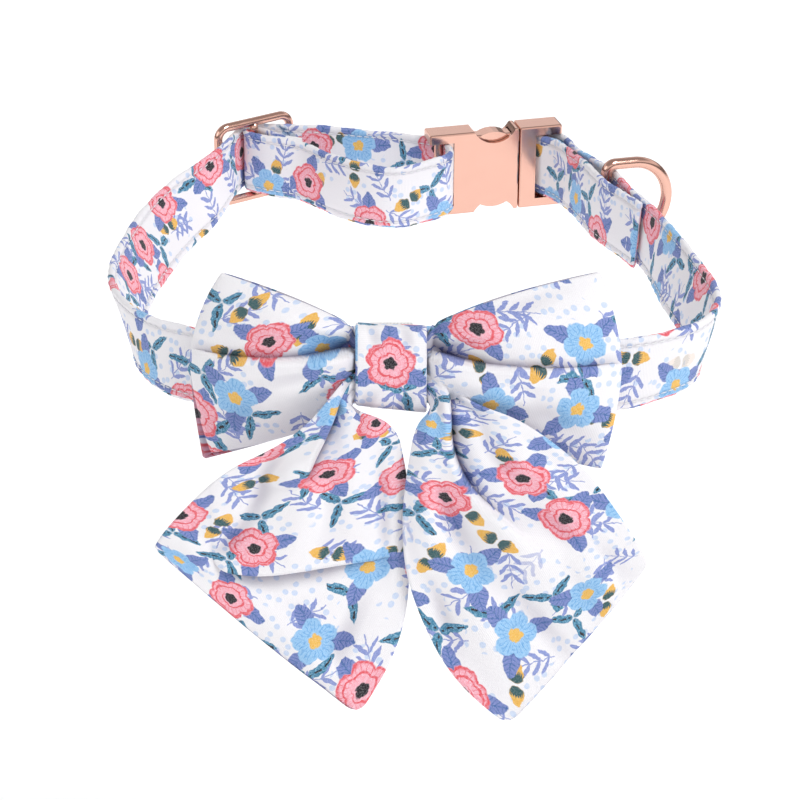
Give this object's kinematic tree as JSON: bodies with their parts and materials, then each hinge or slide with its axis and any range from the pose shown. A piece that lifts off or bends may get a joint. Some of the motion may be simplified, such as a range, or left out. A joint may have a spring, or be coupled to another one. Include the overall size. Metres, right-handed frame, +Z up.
{
  "type": "pet bow tie collar",
  "caption": "Adjustable pet collar of printed cotton over webbing, with a side release buckle, a slider, a D-ring and a sailor bow with two pointed tails.",
  "frame": {"origin": "centre of the neck opening, at half the strap's height", "axes": "+X to the side of the buckle's tongue and the D-ring, +Y to the buckle at the back of the neck, +Z up, the bow on the -Y side"},
  "size_m": [0.2113, 0.2575, 0.1338],
  "materials": {
    "printed_cotton": "matte printed cotton poplin",
    "rose_gold": "polished rose gold plate on zinc alloy",
    "white_elastic": "flat woven elastic"
  },
  "bodies": {
    "collar": {"neck_strap": "printed_cotton", "adjuster_loop": "printed_cotton", "ring_keeper": "printed_cotton", "slider": "rose_gold", "buckle_body": "rose_gold", "buckle_tongue": "rose_gold", "knot_band": "printed_cotton", "bow_holder": "white_elastic", "wing_left": "printed_cotton", "wing_right": "printed_cotton", "tail_left": "printed_cotton", "tail_right": "printed_cotton"},
    "ring": {"d_ring": "rose_gold"}
  },
  "joints": [
    {"name": "ring_turn", "type": "hinge", "parent": "collar", "child": "ring", "pos_m": [0.0772, 0.044, 0.0032], "axis": [0.0489, 0.0188, 0.9986], "range_deg": [-60, 60]}
  ]
}
